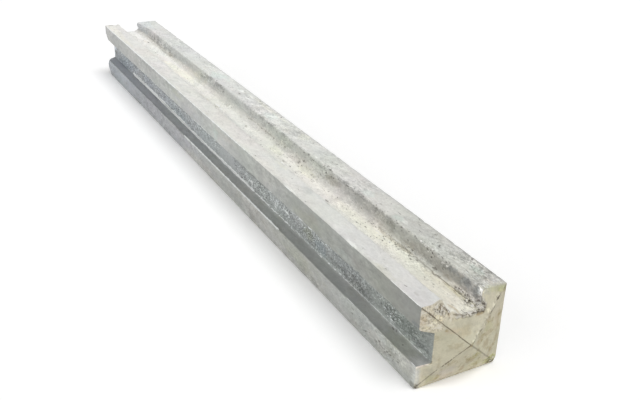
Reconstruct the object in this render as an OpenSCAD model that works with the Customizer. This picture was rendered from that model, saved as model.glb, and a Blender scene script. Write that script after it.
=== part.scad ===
// Slotted concrete corner post for a panel fence, lying on the face opposite its upper slot.
// X runs across the section, Y along the post towards the foot, and Z up.
// The origin is at the middle of the footprint, on the level that the post lies on.

/* [Post] */
// Overall length, from the foot to the tip of the weathered top
post_l = 1220; // [600:10:3000]
// Width across the section, from the side slot's face to the plain side
post_w = 112; // [90:1:160]
// Height of the section as it lies, from the bed to the upper slot's face
post_h = 106; // [90:1:160]
// Rise of the four-sided weathered top above its shoulders
cap_h = 19; // [5:1:60]
// Radius of the four long outer edges
arris_r = 2; // [0.5:0.5:6]
// Radius of the four long edges at the mouths of the slots
lip_r = 1.5; // [0.5:0.5:4]

/* [Upper slot] */
// Width of the upper slot at its mouth
top_mouth = 50; // [30:1:60]
// Depth of the upper slot, from the mouth to the floor
top_depth = 19; // [10:1:26]
// How far each wall of the upper slot leans in between the mouth and the floor
top_draft = 5; // [1:0.5:7]
// Offset of the upper slot from the middle of the width
top_shift = -1.5; // [-6:0.5:6]
// Radius where the upper slot's walls run into its floor
top_fillet = 5; // [1:0.5:6]

/* [Side slot] */
// Width of the side slot at its mouth
side_mouth = 47; // [30:1:60]
// Depth of the side slot, from the mouth to the back
side_depth = 16; // [10:1:26]
// How far each wall of the side slot leans in between the mouth and the back
side_draft = 4; // [1:0.5:7]
// Offset of the side slot from the middle of the height
side_shift = 0.5; // [-6:0.5:6]
// Radius where the side slot's walls run into its back
side_fillet = 3; // [1:0.5:6]

/* [Hidden] */
$fn = 64;

left = -post_w / 2;
right = post_w / 2;
foot_y = post_l / 2;
tip_y = -post_l / 2;
// How far each cutting solid reaches past the section
margin = 5;

concrete_colour = [0.80, 0.80, 0.77];

// Slot corners in the order that the outline meets them: near lip, near floor, far floor, far lip
top_mid = top_shift;
top_floor = post_h - top_depth;
top_corners = [
    [top_mid - top_mouth / 2, post_h],
    [top_mid - top_mouth / 2 + top_draft, top_floor],
    [top_mid + top_mouth / 2 - top_draft, top_floor],
    [top_mid + top_mouth / 2, post_h],
];

side_mid = post_h / 2 + side_shift;
side_back = left + side_depth;
side_corners = [
    [left, side_mid - side_mouth / 2],
    [side_back, side_mid - side_mouth / 2 + side_draft],
    [side_back, side_mid + side_mouth / 2 - side_draft],
    [left, side_mid + side_mouth / 2],
];

// The section's outline, clockwise from the bottom left corner, and the radius at each corner.
// A positive radius rounds an outer corner off and a negative one fills an inner corner.
outline = concat(
    [[left, 0]], side_corners,
    [[left, post_h]], top_corners,
    [[right, post_h], [right, 0]]
);
radii = [
    arris_r, lip_r, -side_fillet, -side_fillet, lip_r,
    arris_r, lip_r, -top_fillet, -top_fillet, lip_r,
    arris_r, arris_r
];

function unit(v) = v / norm(v);

// The sliver between a corner at p, with neighbours a and b, and the arc of radius r inside it
module corner_sliver(a, p, b, r) {
    towards_a = unit(a - p);
    towards_b = unit(b - p);
    half_angle = acos(towards_a * towards_b) / 2;
    reach = r / tan(half_angle);
    centre = p + unit(towards_a + towards_b) * r / sin(half_angle);
    difference() {
        polygon([p, p + towards_a * reach, centre, p + towards_b * reach]);
        translate(centre) circle(r);
    }
}

// The slivers at every corner whose radius has the given sign
module corner_slivers(sign) {
    count = len(outline);
    for (i = [0:count - 1]) {
        if (radii[i] * sign > 0) {
            corner_sliver(
                outline[(i + count - 1) % count], outline[i],
                outline[(i + 1) % count], abs(radii[i])
            );
        }
    }
}

// The section, drawn with X across and the second axis up
module section() {
    difference() {
        union() {
            polygon(outline);
            corner_slivers(-1);
        }
        corner_slivers(1);
    }
}

// A gable of the given span, its ridge at the post's tip, as [across the post, along the post]
function gable(span) =
    let (half = span / 2 + margin, eaves_y = tip_y + cap_h * half / (span / 2))
    [[-half, foot_y], [-half, eaves_y], [0, tip_y], [half, eaves_y], [half, foot_y]];

// Slopes the top down to the left and right
module side_slopes() {
    translate([0, 0, -margin])
        linear_extrude(post_h + 2 * margin) polygon(gable(post_w));
}

// Slopes the top down to the bed and to the upper slot's face
module bed_and_face_slopes() {
    translate([left - margin, 0, post_h / 2])
        rotate([90, 0, 90])
            linear_extrude(post_w + 2 * margin)
                polygon([for (p = gable(post_h)) [p.y, p.x]]);
}

module post() {
    color(concrete_colour)
        intersection() {
            translate([0, foot_y, 0])
                rotate([90, 0, 0]) linear_extrude(post_l) section();
            side_slopes();
            bed_and_face_slopes();
        }
}

post();
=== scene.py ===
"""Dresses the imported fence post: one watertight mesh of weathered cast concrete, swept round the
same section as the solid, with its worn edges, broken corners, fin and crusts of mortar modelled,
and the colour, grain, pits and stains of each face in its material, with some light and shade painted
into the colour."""
import math

import bpy
import numpy as np
from mathutils import Matrix, Vector, noise
from mathutils.geometry import delaunay_2d_cdt


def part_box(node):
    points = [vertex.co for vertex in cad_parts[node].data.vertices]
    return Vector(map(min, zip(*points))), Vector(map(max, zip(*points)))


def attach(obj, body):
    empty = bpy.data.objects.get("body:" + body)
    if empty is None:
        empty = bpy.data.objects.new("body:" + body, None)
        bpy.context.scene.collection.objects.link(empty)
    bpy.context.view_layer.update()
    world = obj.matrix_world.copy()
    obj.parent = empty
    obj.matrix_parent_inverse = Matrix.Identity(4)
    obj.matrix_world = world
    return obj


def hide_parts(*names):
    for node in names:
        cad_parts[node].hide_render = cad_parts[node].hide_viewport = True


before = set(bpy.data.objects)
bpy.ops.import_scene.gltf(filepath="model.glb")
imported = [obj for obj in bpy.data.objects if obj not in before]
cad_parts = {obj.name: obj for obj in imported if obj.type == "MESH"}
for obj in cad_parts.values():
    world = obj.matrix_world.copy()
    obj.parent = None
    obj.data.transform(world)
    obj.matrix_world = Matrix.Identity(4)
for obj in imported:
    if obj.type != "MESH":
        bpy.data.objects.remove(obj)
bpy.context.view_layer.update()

MM = 0.001
random = np.random.default_rng(17)

# Every size and place of the post below is in millimetres, and becomes metres in the mesh
LOW, HIGH = [np.array(corner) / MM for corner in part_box("post")]
LEFT, RIGHT = LOW[0], HIGH[0]
TIP, FOOT = LOW[1], HIGH[1]
BED, FACE = LOW[2], HIGH[2]
HALF_W, HALF_H = (RIGHT - LEFT) / 2, (FACE - BED) / 2
CAP_RISE = 19.0
SHOULDER = TIP + CAP_RISE
LENGTH = FOOT - SHOULDER


# ---- short calls

class Nodes:
    """Short calls for the nodes of one tree."""

    def __init__(self, tree):
        self.tree = tree

    def node(self, kind, **settings):
        made = self.tree.nodes.new("ShaderNode" + kind)
        for name, value in settings.items():
            setattr(made, name, value)
        return made

    def put(self, socket, value):
        """Links an output to a socket, or sets the socket to a plain value."""
        if isinstance(value, bpy.types.NodeSocket):
            self.tree.links.new(value, socket)
        else:
            socket.default_value = value

    def maths(self, operation, *values):
        made = self.node("Math", operation=operation)
        for socket, value in zip(made.inputs, values):
            self.put(socket, value)
        return made.outputs[0]


def add_object(name, data):
    made = bpy.data.objects.new(name, data)
    bpy.context.scene.collection.objects.link(made)
    return made


# ---- camera, light and floor

def make_camera():
    """Looks down along the post from the left of its weathered top."""
    data = bpy.data.cameras.new("camera")
    data.lens = 45.8
    data.sensor_width = 36.0
    data.clip_start = 0.05
    data.clip_end = 200.0
    camera = add_object("camera", data)
    heading, tilt, roll = math.radians(29.3), math.radians(-26.8), math.radians(1.84)
    turn = (Matrix.Rotation(-heading, 4, "Z")
            @ Matrix.Rotation(math.pi / 2 + tilt, 4, "X")
            @ Matrix.Rotation(roll, 4, "Z"))
    camera.matrix_world = Matrix.Translation((-0.4923, TIP * MM - 0.5367, 0.5796)) @ turn
    bpy.context.scene.camera = camera


def seen_directly(nodes):
    """1 for rays from the camera, a mirror or glass, and 0 for the light that falls on things."""
    rays = nodes.node("LightPath").outputs
    direct = nodes.maths("MAXIMUM", rays["Is Camera Ray"], rays["Is Glossy Ray"])
    return nodes.maths("MAXIMUM", direct, rays["Is Transmission Ray"])


def make_world(strength):
    """Soft light from all round, behind a backdrop that looks white."""
    world = bpy.data.worlds.new("studio")
    world.use_nodes = True
    world.node_tree.nodes.clear()
    nodes = Nodes(world.node_tree)
    soft, white = nodes.node("Background"), nodes.node("Background")
    nodes.put(soft.inputs["Strength"], strength)
    mix = nodes.node("MixShader")
    nodes.put(mix.inputs[0], seen_directly(nodes))
    nodes.put(mix.inputs[1], soft.outputs[0])
    nodes.put(mix.inputs[2], white.outputs[0])
    nodes.put(nodes.node("OutputWorld").inputs["Surface"], mix.outputs[0])
    bpy.context.scene.world = world


def make_sun(name, strength, direction, spread):
    data = bpy.data.lights.new(name, "SUN")
    data.energy = strength
    data.angle = math.radians(spread)
    turn = (-Vector(direction)).to_track_quat("-Z", "Y")
    add_object(name, data).rotation_euler = turn.to_euler()


def make_floor():
    """White paper that keeps the shadow, brighter to the eye than in the light it gives."""
    half, ground = 40.0, BED * MM
    mesh = bpy.data.meshes.new("floor")
    corners = [(-half, -half, ground), (half, -half, ground), (half, half, ground),
               (-half, half, ground)]
    mesh.from_pydata(corners, [], [(0, 1, 2, 3)])
    material = bpy.data.materials.new("floor_paper")
    material.use_nodes = True
    material.node_tree.nodes.clear()
    nodes = Nodes(material.node_tree)
    brightness = nodes.node("MapRange")
    nodes.put(brightness.inputs["Value"], seen_directly(nodes))
    nodes.put(brightness.inputs["To Min"], 0.97)
    nodes.put(brightness.inputs["To Max"], 1.1)
    paper = nodes.node("BsdfDiffuse")
    nodes.put(paper.inputs["Color"], brightness.outputs[0])
    nodes.put(nodes.node("OutputMaterial").inputs["Surface"], paper.outputs[0])
    mesh.materials.append(material)
    floor = add_object("floor", mesh)


# ---- the section

TOP_MID, TOP_MOUTH, TOP_DEPTH, TOP_DRAFT = -1.5, 50.0, 19.0, 5.0
SIDE_MID, SIDE_MOUTH, SIDE_DEPTH, SIDE_DRAFT = 53.5, 47.0, 16.0, 4.0
ARRIS_R, LIP_R, RIGHT_LIP_R, TOP_FILLET, SIDE_FILLET = 0.6, 0.6, 2.5, 5.0, 1.5
SLOT_FLOOR = FACE - TOP_DEPTH
SLOT_BACK = LEFT + SIDE_DEPTH
TOP_LEFT, TOP_RIGHT = TOP_MID - TOP_MOUTH / 2, TOP_MID + TOP_MOUTH / 2
SIDE_LOW, SIDE_HIGH = SIDE_MID - SIDE_MOUTH / 2, SIDE_MID + SIDE_MOUTH / 2

# Corners clockwise from the bottom left: its place, its radius, outer positive and inner
# negative, and how deep its edge is worn, at the top end and at the foot
CORNERS = [
    (LEFT, BED, ARRIS_R, 0.15, 0.2),
    (LEFT, SIDE_LOW, LIP_R, 0.3, 0.3),
    (SLOT_BACK, SIDE_LOW + SIDE_DRAFT, -SIDE_FILLET, 0, 0),
    (SLOT_BACK, SIDE_HIGH - SIDE_DRAFT, -SIDE_FILLET, 0, 0),
    (LEFT, SIDE_HIGH, LIP_R, 0.4, 0.4),
    (LEFT, FACE, ARRIS_R, 0.2, 0.2),
    (TOP_LEFT, FACE, LIP_R, 1.0, 0.4),
    (TOP_LEFT + TOP_DRAFT, SLOT_FLOOR, -TOP_FILLET, 0, 0),
    (TOP_RIGHT - TOP_DRAFT, SLOT_FLOOR, -TOP_FILLET, 0, 0),
    (TOP_RIGHT, FACE, RIGHT_LIP_R, 0.8, 0.5),
    (RIGHT, FACE, ARRIS_R, 0.1, 0.1),
    (RIGHT, BED, ARRIS_R, 0.6, 0.6),
]
FIN_CORNER, COVE_CORNER = 2, 8

# One face after each corner, then the two ends: name, spacing of its vertices, colour (sRGB) at
# the weathered top, in the middle and at the foot, and how strongly it is pitted, grained,
# trowelled, specked with white and given painted glints and sparkle, and mottled with brown
FACES = [
    ("lower_shoulder", 2.6, (194, 196, 192), (193, 193, 188), (184, 188, 193), 0.2, 0.6, 0, 0.2, 0.2),
    ("lower_wall", 2.2, (181, 183, 179), (177, 179, 177), (173, 177, 182), 0.2, 0.3, 0, 0, 0.25),
    ("slot_back", 2.0, (147, 152, 148), (187, 191, 190), (175, 180, 184), 0.3, 1.2, 0, 1.0, 0.1),
    ("upper_wall", 3.0, (180, 183, 178), (200, 203, 200), (205, 208, 208), 0.2, 0.5, 0, 0.1, 0.1),
    ("upper_shoulder", 2.4, (160, 162, 155), (198, 200, 196), (203, 204, 201), 0.05, 0.45, 0, 0, 0.1),
    ("left_land", 2.4, (226, 225, 221), (234, 233, 228), (238, 237, 233), 0.1, 0.2, 0.3, 0.1, 0.1),
    ("left_wall", 2.6, (216, 214, 206), (226, 225, 218), (232, 231, 225), 0.3, 0.4, 0, 0, 0.2),
    ("slot_floor", 1.7, (235, 233, 219), (246, 245, 237), (250, 250, 245), 0.45, 0.3, 0.1, 0.2, 0.1),
    ("right_wall", 1.5, (184, 182, 177), (214, 217, 211), (219, 220, 219), 0.3, 0.45, 0.1, 0.2, 0.15),
    ("right_land", 2.0, (205, 204, 197), (231, 232, 227), (232, 233, 231), 0.35, 0.4, 0.75, 0.25, 0.15),
    ("plain_side", 4.0, (206, 206, 200), (212, 212, 207), (216, 217, 213), 0.4, 0.3, 0, 0.1, 0.3),
    ("bed", 5.5, (200, 199, 192), (204, 204, 198), (206, 206, 201), 0.3, 0.5, 0, 0, 0.3),
    ("weathered_top", 1.2, (208, 202, 179), (208, 202, 179), (208, 202, 179), 0, 0.2, 0, 0, 0.3),
    ("foot_end", 3.2, (206, 206, 200), (206, 206, 200), (206, 206, 200), 0.5, 0.8, 0, 0.1, 0.3),
]
SPACING, COLOURS, FIRST_DETAIL = 1, (2, 3, 4), 5
DETAILS = ("pits", "grain", "trowel", "specks_and_glints", "mottle")
NAMES = [face[0] for face in FACES]
TOP_END, FOOT_END = NAMES.index("weathered_top"), NAMES.index("foot_end")
SLOT_FACES = ("lower_wall", "slot_back", "upper_wall", "left_wall", "slot_floor", "right_wall")
MIDDLE = 0.37
ARC_STEPS = 4


def corner_arc(before, corner, after, radius):
    """Points and outward normals round one corner, from its first straight to its next."""
    towards_a = (before - corner) / np.linalg.norm(before - corner)
    towards_b = (after - corner) / np.linalg.norm(after - corner)
    size = abs(radius)
    half = math.acos(float(towards_a @ towards_b)) / 2
    middle = towards_a + towards_b
    centre = corner + middle / np.linalg.norm(middle) * size / math.sin(half)
    start = corner + towards_a * size / math.tan(half) - centre
    end = corner + towards_b * size / math.tan(half) - centre
    first = math.atan2(start[1], start[0])
    sweep = (math.atan2(end[1], end[0]) - first + math.pi) % (2 * math.pi) - math.pi
    angles = first + sweep * np.linspace(0, 1, ARC_STEPS + 1)
    spokes = np.stack([np.cos(angles), np.sin(angles)], 1)
    return centre + spokes * size, spokes * math.copysign(1, radius)


def make_section():
    """The outline as points and normals, with each point's share in the faces beside it."""
    count = len(CORNERS)
    place = np.array([corner[:2] for corner in CORNERS])
    arcs = [corner_arc(place[i - 1], place[i], place[(i + 1) % count], CORNERS[i][2])
            for i in range(count)]
    points, normals, shares = [], [], []
    for i, (arc_points, arc_normals) in enumerate(arcs):
        for k in range(ARC_STEPS + 1):
            share = np.zeros(len(FACES))
            share[i] = k / ARC_STEPS
            share[(i - 1) % count] = 1 - k / ARC_STEPS
            points.append(arc_points[k])
            normals.append(arc_normals[k])
            shares.append(share)
        run = arcs[(i + 1) % count][0][0] - arc_points[-1]
        along = run / np.linalg.norm(run)
        steps = max(2, round(float(np.linalg.norm(run)) / FACES[i][SPACING]))
        for k in range(1, steps):
            points.append(arc_points[-1] + run * k / steps)
            normals.append(np.array([-along[1], along[0]]))
            shares.append(np.eye(len(FACES))[i])
    return np.array(points), np.array(normals), np.array(shares)


def cap_y(x, z):
    """Where the weathered top's four slopes lie above a point of the section."""
    slope = np.maximum(abs(x) / HALF_W, abs(z - BED - HALF_H) / HALF_H)
    return TIP + CAP_RISE * slope


# ---- noise and colour

def field(points, size, octaves=3, seed=0.0):
    """Smooth noise from about -0.7 to 0.7 with features of the given size."""
    spots = (np.asarray(points) / size + (seed * 7.31, seed * 3.17, seed * 5.73)).tolist()
    return np.array([noise.fractal(spot, 1.0, 2.0, octaves) for spot in spots])


def along_field(t, size, octaves=2, seed=0.0):
    """Noise that changes only along the post."""
    return field(np.stack([np.zeros(len(t)), t, np.zeros(len(t))], 1), size, octaves, seed)


def smooth(start, end, value):
    """0 before the start and 1 past the end, eased between them."""
    t = np.clip((value - start) / (end - start), 0, 1)
    return t * t * (3 - 2 * t)


def between(start, end, ease, value):
    """1 from the start to the end and 0 beyond, eased over twice the ease at both."""
    return smooth(start - ease, start + ease, value) * smooth(end + ease, end - ease, value)


def srgb(colour):
    """Linear values of an sRGB colour given from 0 to 255."""
    c = np.asarray(colour, float) / 255
    return np.where(c <= 0.04045, c / 12.92, ((c + 0.055) / 1.055) ** 2.4)


# What a tint does to the light that the concrete gives back, in red, green and blue
TINTS = {
    "black": (0.45, 0.44, 0.41), "dark": (0.70, 0.69, 0.66), "grey": (0.88, 0.885, 0.89),
    "slate": (0.68, 0.72, 0.76), "brown": (0.80, 0.74, 0.66), "rust": (0.93, 0.88, 0.81),
    "pink": (1.00, 0.965, 0.95), "olive": (0.94, 0.95, 0.86), "moss": (0.85, 0.92, 0.62),
    "teal": (0.98, 1.04, 1.03), "lilac": (0.975, 0.97, 1.01), "blue": (0.92, 0.955, 1.00),
    "cream": (1.06, 1.05, 1.00), "white": (1.65, 1.67, 1.68), "sand": (1.03, 0.98, 0.92),
}


# ---- the plain mesh

# How far from the shoulder each stretch of rings reaches, and how far apart they lie in it
ROW_RUNS = [(36, 1.2), (100, 2.0), (220, 3.0), (LENGTH, 4.3)]

# The grid that fills the ends: its rows' distance, how far its points stray, and the room they
# leave each other, as shares of the spacing
GRID_ROW, GRID_STRAY, GRID_ROOM = 0.87, 0.15, 0.6
RIDGE_POINTS, RIDGE_END = 80, 0.98


def row_places():
    """How far each ring of vertices lies along the post, from 0 at the top to 1 at the foot."""
    places = [0.0]
    for reach, step in ROW_RUNS:
        start = places[-1]
        places += list(np.linspace(start, reach, round((reach - start) / step) + 1)[1:])
    return np.array(places) / LENGTH


def ridge_places():
    """Places along the four ridges of the weathered top, close enough to keep them sharp."""
    parts = np.linspace(0, RIDGE_END, RIDGE_POINTS)
    return [(part * HALF_W * across, BED + HALF_H + part * HALF_H * up)
            for across in (-1, 1) for up in (-1, 1) for part in parts]


def inside(points, outline):
    """Which points lie inside the closed outline."""
    x, z = points[:, 0], points[:, 1]
    odd = np.zeros(len(points), bool)
    for (x0, z0), (x1, z1) in zip(outline, np.roll(outline, -1, axis=0)):
        crosses = (z0 > z) != (z1 > z)
        with np.errstate(divide="ignore", invalid="ignore"):
            odd ^= crosses & (x < (x1 - x0) * (z - z0) / (z1 - z0) + x0)
    return odd


def nearest(points, others):
    """How far each point lies from the nearest of the others."""
    return np.sqrt(((points[:, None] - others[None]) ** 2).sum(2)).min(1)


def fill_end(outline, spacing, extra=None):
    """Triangles over the section and their inner points. The outline's points come first."""
    xs = np.arange(LEFT + spacing / 2, RIGHT, spacing)
    zs = np.arange(BED + spacing / 2, FACE, spacing * GRID_ROW)
    grid = np.array([(x + (j % 2) * spacing / 2, z) for j, z in enumerate(zs) for x in xs])
    grid += random.uniform(-GRID_STRAY, GRID_STRAY, grid.shape) * spacing
    if extra:
        extra = np.array(extra)
        grid = np.concatenate([extra, grid[nearest(grid, extra) > spacing * GRID_ROOM]])
    inner = grid[(nearest(grid, outline) > spacing * GRID_ROOM) & inside(grid, outline)]
    every = np.concatenate([outline, inner])
    rim = [(i, (i + 1) % len(outline)) for i in range(len(outline))]
    result = delaunay_2d_cdt([Vector(p) for p in every], rim, [], 0, 1e-4, True)
    origin = np.array([ids[0] for ids in result[3]])
    tris = origin[np.array(result[2])]
    tris = tris[inside(every[tris].mean(1), outline)]
    return inner, tris


class Skin:
    """The vertices of the whole surface and the faces between them. home is where each vertex
    lies on the plain cast shape, x and z its place there in the section, t its distance from the
    shoulder, and tone and detail are what the material reads."""

    def __init__(self):
        outline, normals, shares = make_section()
        self.around = len(outline)
        self.rows = row_places()
        rings = len(self.rows)
        near = cap_y(outline[:, 0], outline[:, 1])
        y = near + (FOOT - near) * self.rows[:, None]
        across, up = [np.tile(outline[:, axis], (rings, 1)) for axis in (0, 1)]
        sides = np.stack([across, y, up], 2)
        top, top_tris = fill_end(outline, FACES[TOP_END][SPACING], ridge_places())
        foot, foot_tris = fill_end(outline, FACES[FOOT_END][SPACING])
        top_points = np.stack([top[:, 0], cap_y(*top.T), top[:, 1]], 1)
        foot_points = np.stack([foot[:, 0], np.full(len(foot), FOOT), foot[:, 1]], 1)

        self.points = np.concatenate([sides.reshape(-1, 3), top_points, foot_points])
        self.home = self.points.copy()
        self.x, self.z = self.home[:, 0], self.home[:, 2]
        self.t = self.home[:, 1] - SHOULDER
        self.side = slice(0, rings * self.around)
        self.top = slice(self.side.stop, self.side.stop + len(top))
        self.foot = slice(self.top.stop, self.top.stop + len(foot))
        self.share = np.zeros((len(self.points), len(FACES)))
        self.share[self.side] = np.tile(shares, (rings, 1))
        self.share[self.top, TOP_END] = 1
        self.share[self.foot, FOOT_END] = 1
        self.out = np.zeros_like(self.points)
        self.out[self.side, 0] = np.tile(normals[:, 0], rings)
        self.out[self.side, 2] = np.tile(normals[:, 1], rings)
        self.out[self.top, 1] = -1
        self.out[self.foot, 1] = 1
        self.faces = self.ring_faces() + self.end_faces(top_tris, self.top.start, 0, False)
        self.faces += self.end_faces(foot_tris, self.foot.start, (rings - 1) * self.around, True)

    def ring_faces(self):
        faces = []
        for j in range(len(self.rows) - 1):
            for i in range(self.around):
                a, b = j * self.around + i, j * self.around + (i + 1) % self.around
                faces.append((a, b, b + self.around, a + self.around))
        return faces

    def end_faces(self, tris, first_inner, first_rim, turned):
        places = np.where(tris < self.around, tris + first_rim, tris - self.around + first_inner)
        return [tuple(tri) for tri in (places[:, ::-1] if turned else places).tolist()]

    def amount(self, detail):
        """How strongly the faces have a detail at each vertex."""
        column = FIRST_DETAIL + DETAILS.index(detail)
        return self.share @ np.array([face[column] for face in FACES])

    def of(self, *names):
        """Each vertex's share in the named faces together."""
        return self.share[:, [NAMES.index(name) for name in names]].sum(1)

    def zone(self, *names, **ramps):
        """Each vertex's share in the named faces, with ramps along x, t or z from 0 to 1."""
        share = self.of(*names)
        for axis, (start, end) in ramps.items():
            share = share * smooth(start, end, getattr(self, axis))
        return share

    def near(self, place, size):
        """Which vertices lie within a box round a place, and where that place is in the mesh."""
        middle = np.array([place[0], SHOULDER + place[1], place[2]])
        return np.flatnonzero((np.abs(self.home - middle) < size).all(1)), middle

    def reach(self, x, z):
        """How far each vertex lies from a line along the post."""
        return np.hypot(self.x - x, self.z - z)

    def shade(self, gain):
        """Makes the tone paler or darker by each vertex's gain."""
        self.tone *= gain[:, None]

    def tint(self, name, amount):
        """Tints the tone as far as each vertex's amount says."""
        self.tone *= 1 + (np.array(TINTS[name]) - 1) * amount[:, None]

    def colour(self, colour, amount):
        """Moves the tone towards an sRGB colour, as far as each vertex's amount says."""
        self.tone += (srgb(colour) - self.tone) * amount[:, None]


# ---- relief

def cast_relief(skin):
    """Gentle waves, a coarse grain on the rough faces and the strokes of the trowel."""
    p = skin.home
    grain, trowel = skin.amount("grain"), skin.amount("trowel")
    patchy = smooth(-0.25, 0.3, field(p * (1, 0.4, 1), 30, 2, 11))
    worn = 0.4 * field(p * (1, 0.5, 1), 60, 2, 1)
    worn += 0.45 * grain * (0.35 + patchy) * field(p, 9, 3, 2)
    across = p[:, 0] * 0.87 + p[:, 1] * 0.5
    along = (p[:, 1] * 0.87 - p[:, 0] * 0.5) * 0.2
    strokes = np.stack([across, along, p[:, 2]], 1)
    worn += 0.9 * trowel * (0.3 + patchy) * field(strokes, 9, 3, 4)
    outer = 1 - skin.of(*SLOT_FACES)
    worn = np.where(outer > 0.5, 0.6 * np.maximum(worn, 0), worn)
    skin.points -= skin.out * worn[:, None]


def fin_place(t):
    """Where the fin stands in the section, a little above the side slot's lower inner corner."""
    x, z = CORNERS[FIN_CORNER][:2]
    outward = 0.9 * smooth(185, 225, t) * smooth(740, 640, t)
    return x - outward, z + 0.1 + 0.5 * smooth(230, 180, t) + 2.3 * smooth(680, 1000, t)


def mortar_fin(skin):
    """A thin ledge of mortar that stands along the side slot's lower inner corner."""
    t = skin.t
    height = 0.8 + 1.0 * smooth(200, 420, t) + 1.7 * smooth(500, 720, t)
    height *= smooth(2, 30, t) * smooth(1085, 1060, t) * (1 + 1.2 * along_field(t, 24, 3, 5))
    near = np.clip(1 - skin.reach(*fin_place(t)) / 2.4, 0, 1)
    fin = np.maximum(height * near * (skin.of("slot_back", "lower_wall") > 0.3), 0)
    skin.points[:, 0] -= 0.8 * fin
    skin.points[:, 2] += 0.6 * fin


def mortar_cove(skin):
    """A rough cove of mortar in the top slot's right inner corner, thicker at both ends. It
    gives back which vertices are in it."""
    t = skin.t
    lean = TOP_DRAFT / TOP_DEPTH
    foot_x = CORNERS[COVE_CORNER][0]
    above = skin.points[:, 2] - SLOT_FLOOR
    from_wall = foot_x + above * lean - skin.points[:, 0]
    radius = 6.0 + 3.5 * smooth(90, 260, t) + 3.0 * along_field(t, 60, 3, 21)
    radius += 5.0 * smooth(14, -6, t) + 4.0 * smooth(1130, 1195, t)
    ragged = 0.8 + 1.2 * smooth(60, 5, t)
    radius = radius + ragged * field(skin.home, 5, 3, 22)
    across, up = radius - from_wall, radius - above
    reach = np.hypot(across, up)
    hit = (skin.of("slot_floor", "right_wall") > 0.5) & (skin.x > 0)
    hit &= (across > 0) & (up > 0) & (reach > radius)
    pull = np.where(hit, radius / np.maximum(reach, 1e-6), 1)
    new_above = radius - up * pull
    new_from = radius - across * pull
    skin.points[hit, 2] = SLOT_FLOOR + new_above[hit]
    skin.points[hit, 0] = (foot_x + new_above * lean - new_from)[hit]
    deep = np.minimum(from_wall, above) < radius * 0.8
    return np.where(hit, deep, 0) * smooth(0, 0.4, reach - radius)


# Mortar left in lumps: place, size, the way it stands out, and how far
HEAPS = [
    ((19, -4, 91), (7, 13, 8), (-0.5, -0.8, 0.6), 3.2),
    ((13, 8, 87), (5, 14, 4), (-0.3, -0.2, 0.9), 1.2),
    ((17.5, 20, 89.5), (3, 28, 3.5), (-0.7, 0, 0.7), 2.2),
    ((3, -8, 86), (20, 3.5, 2.5), (0, -1, 0.2), 1.2),
    ((-21, -1, 93), (4, 8, 6), (0.5, -0.7, 0.5), 1.8),
    ((-33, -1, 97), (9, 4, 9), (0, -1, 0.2), 0.8),
]


def mortar_heaps(skin):
    """Builds the lumps up, and gives back how much each vertex belongs to them."""
    heaped = np.zeros(len(skin.points))
    for number, (place, size, push, height) in enumerate(HEAPS):
        close, middle = skin.near(place, 1.3 * np.array(size))
        home = skin.home[close]
        reach = np.linalg.norm((home - middle) / size, axis=1)
        ragged = reach + 0.3 * field(home, 6, 2, 70 + number)
        mask = smooth(1.15, 0.55, ragged)
        lumps = np.maximum(0.45 + 1.7 * field(home, 3.4, 3, 80 + number), 0)
        direction = np.array(push) / np.linalg.norm(push)
        skin.points[close] += direction * (height * mask * lumps)[:, None]
        heaped[close] = np.maximum(heaped[close], mask)
    return heaped


def silted_corner(skin):
    """At the top end mortar has filled the top slot's left corner, and the floor rises to it."""
    rise = 4.6 * smooth(-3, -19, skin.x) * smooth(42, 4, skin.t)
    level = SLOT_FLOOR + rise * (1 + 0.25 * field(skin.home, 10, 2, 50))
    low = (skin.of("slot_floor", "left_wall") > 0.5) & (skin.points[:, 2] < level)
    skin.points[low, 2] = level[low]


def swollen_lip(skin):
    """Near the foot the right land leans into the slot."""
    over = 8.0 * smooth(1130, 1200, skin.t)
    wall = skin.zone("right_wall", z=(SLOT_FLOOR + 2, FACE - 4))
    land = skin.zone("right_land", x=(TOP_RIGHT + 16, TOP_RIGHT))
    skin.points[:, 0] -= over * (wall + land)


# How far from its corner an edge can be worn, and how far along the next edge's wear is taken
# from the same noise
EDGE_REACH, EDGE_SHIFT = 14, 977


def wear_edges(skin):
    """Cuts the long edges back to ragged bevels, with chips here and there."""
    for number, (x, z, radius, near_wear, foot_wear) in enumerate(CORNERS):
        if radius < 0:
            continue
        here = np.array([x, z])
        before = here - np.array(CORNERS[number - 1][:2])
        after = here - np.array(CORNERS[(number + 1) % len(CORNERS)][:2])
        out = before / np.linalg.norm(before) + after / np.linalg.norm(after)
        out /= np.linalg.norm(out)
        offset = skin.home[:, [0, 2]] - here
        close = np.flatnonzero(np.abs(offset[skin.side]).max(1) < EDGE_REACH)
        t = skin.t[close]
        shifted = t + EDGE_SHIFT * number
        wear = near_wear + (foot_wear - near_wear) * smooth(300, 900, t)
        depth = wear * (1 + 1.2 * np.maximum(along_field(shifted, 45, 2, 3), 0))
        chips = (0.5 + wear) * (2.6 + 2.6 * smooth(500, 800, t))
        depth += chips * np.maximum(along_field(shifted, 9, 2, 9) - 0.27, 0)
        height = np.maximum((skin.points[close][:, [0, 2]] - here) @ out + depth, 0)
        height *= 1 + 0.5 * field(skin.home[close], 5, 2, 40 + number)
        skin.points[close, 0] -= out[0] * height
        skin.points[close, 2] -= out[1] * height


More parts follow.
